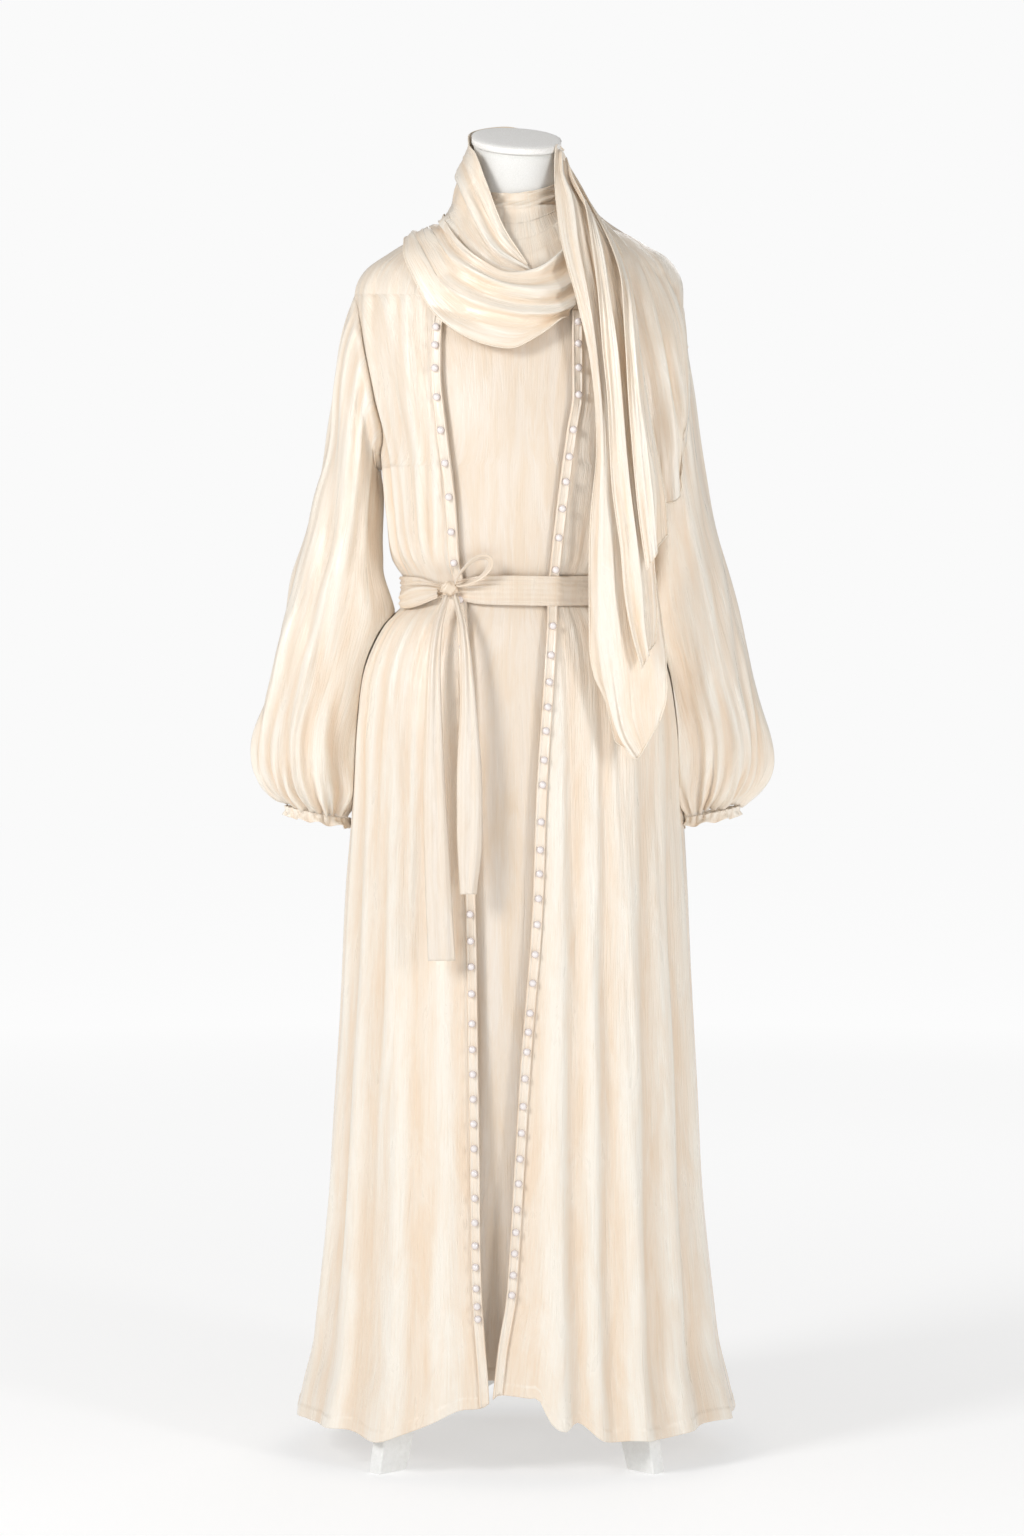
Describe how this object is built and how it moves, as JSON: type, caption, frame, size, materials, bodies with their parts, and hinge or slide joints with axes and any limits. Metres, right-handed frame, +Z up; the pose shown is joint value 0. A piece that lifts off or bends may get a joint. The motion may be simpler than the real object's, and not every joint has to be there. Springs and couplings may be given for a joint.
{
  "type": "abaya set on a limbless dress form with stand",
  "caption": "Open-front robe with beaded edges and balloon sleeves, a slip dress, a tied belt and a wound scarf, on a limbless dress form with a splayed-leg stand.",
  "frame": {"origin": "centre of the stand's footprint on the floor, under the pole", "axes": "+Z up; the set faces -Y, so the wearer's right is -X and left is +X"},
  "size_m": [0.6041, 0.4069, 1.5505],
  "materials": {
    "robe_crepe_satin": "cream crepe satin with a soft sheen and fine lengthwise streaks",
    "slip_satin": "pale satin with a low sheen",
    "scarf_satin": "thin cream satin with silvery highlights on its folds",
    "belt_satin": "cream satin ribbon, creased along its length",
    "pearl_trim": "piped cloth strip with glossy pearl beads",
    "form_fabric": "white stretch cover, smooth and matt",
    "cap_fabric": "off-white padded cover, grainy and matt",
    "stand_enamel": "white enamel, satin"
  },
  "bodies": {
    "root": {"robe_front_right": "robe_crepe_satin", "robe_front_left": "robe_crepe_satin", "robe_back": "robe_crepe_satin", "sleeve_right": "robe_crepe_satin", "sleeve_left": "robe_crepe_satin", "cuff_right": "robe_crepe_satin", "cuff_left": "robe_crepe_satin", "slip_front": "slip_satin", "slip_back": "slip_satin", "scarf_wrap": "scarf_satin", "scarf_collar": "scarf_satin", "scarf_cowl": "scarf_satin", "scarf_tail": "scarf_satin", "scarf_fall": "scarf_satin", "belt_band": "belt_satin", "belt_knot": "belt_satin", "belt_loop": "belt_satin", "belt_loop_lying": "belt_satin", "belt_tail_long": "belt_satin", "belt_tail_short": "belt_satin", "pearl_trim_right": "pearl_trim", "pearl_trim_left": "pearl_trim", "dress_form": "form_fabric", "neck_cap": "cap_fabric", "stand_pole": "stand_enamel", "stand_hub": "stand_enamel", "stand_leg_1": "stand_enamel", "stand_leg_2": "stand_enamel", "stand_leg_3": "stand_enamel", "stand_leg_4": "stand_enamel"}
  },
  "joints": []
}
